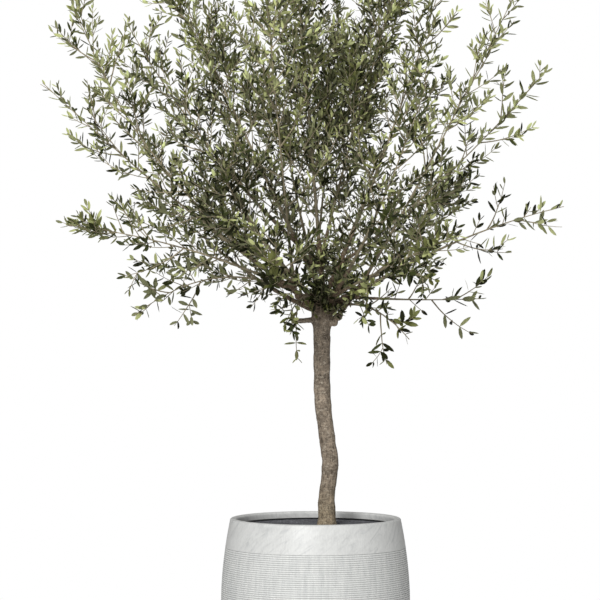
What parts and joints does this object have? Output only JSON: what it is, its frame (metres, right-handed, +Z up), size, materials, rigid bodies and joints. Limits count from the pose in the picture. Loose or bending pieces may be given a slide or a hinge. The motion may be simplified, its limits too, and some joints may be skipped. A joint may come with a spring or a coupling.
{
  "type": "potted olive tree",
  "caption": "Young olive tree on a clear stem with a round open crown of twigs and narrow leaves, planted in a ribbed barrel-shaped stone-grey pot.",
  "frame": {"origin": "centre of the pot's flat underside, which stands on the floor", "axes": "+Z up the tree, +X to its right and +Y to its back as it is seen from the front"},
  "size_m": [1.3801, 1.135, 2.0401],
  "materials": {
    "pot": "pale grey cast stone look, matt: a smooth swirled band under the rim and fine level ribs below it",
    "soil": "dark blue-grey potting grit, dry and rough",
    "bark": "grey-brown young bark, finely cracked, with pale flecks",
    "foliage": "leathery narrow leaves, dark grey-green above and silvery beneath, with lighter young tips"
  },
  "bodies": {
    "root": {"pot": "pot", "soil": "soil", "trunk": "bark", "bough_left_upper": "bark", "bough_top_left": "bark", "bough_top": "bark", "bough_right_top": "bark", "bough_right_centre": "bark", "bough_right_mid": "bark", "bough_front_left": "bark", "bough_front_right": "bark", "bough_back_left": "bark", "bough_back_upper": "bark", "bough_back_right": "bark", "bough_left_top": "bark", "bough_left_mid": "bark", "bough_left_low": "bark", "bough_top_right": "bark", "bough_right_upper": "bark", "bough_right_low": "bark", "bough_hanging_right": "bark", "bough_hanging_left": "bark", "bough_front_low": "bark", "bough_front_low_right": "bark", "bough_front_top": "bark", "bough_back_low": "bark", "bough_back_top": "bark", "bough_left_centre": "bark", "foliage_left_upper": "foliage", "foliage_top_left": "foliage", "foliage_top": "foliage", "foliage_right_top": "foliage", "foliage_right_centre": "foliage", "foliage_right_mid": "foliage", "foliage_front_left": "foliage", "foliage_front_right": "foliage", "foliage_back_left": "foliage", "foliage_back_upper": "foliage", "foliage_back_right": "foliage", "foliage_left_top": "foliage", "foliage_left_mid": "foliage", "foliage_left_low": "foliage", "foliage_top_right": "foliage", "foliage_right_upper": "foliage", "foliage_right_low": "foliage", "foliage_hanging_right": "foliage", "foliage_hanging_left": "foliage", "foliage_front_low": "foliage", "foliage_front_low_right": "foliage", "foliage_front_top": "foliage", "foliage_back_low": "foliage", "foliage_back_top": "foliage", "foliage_left_centre": "foliage"}
  },
  "joints": []
}
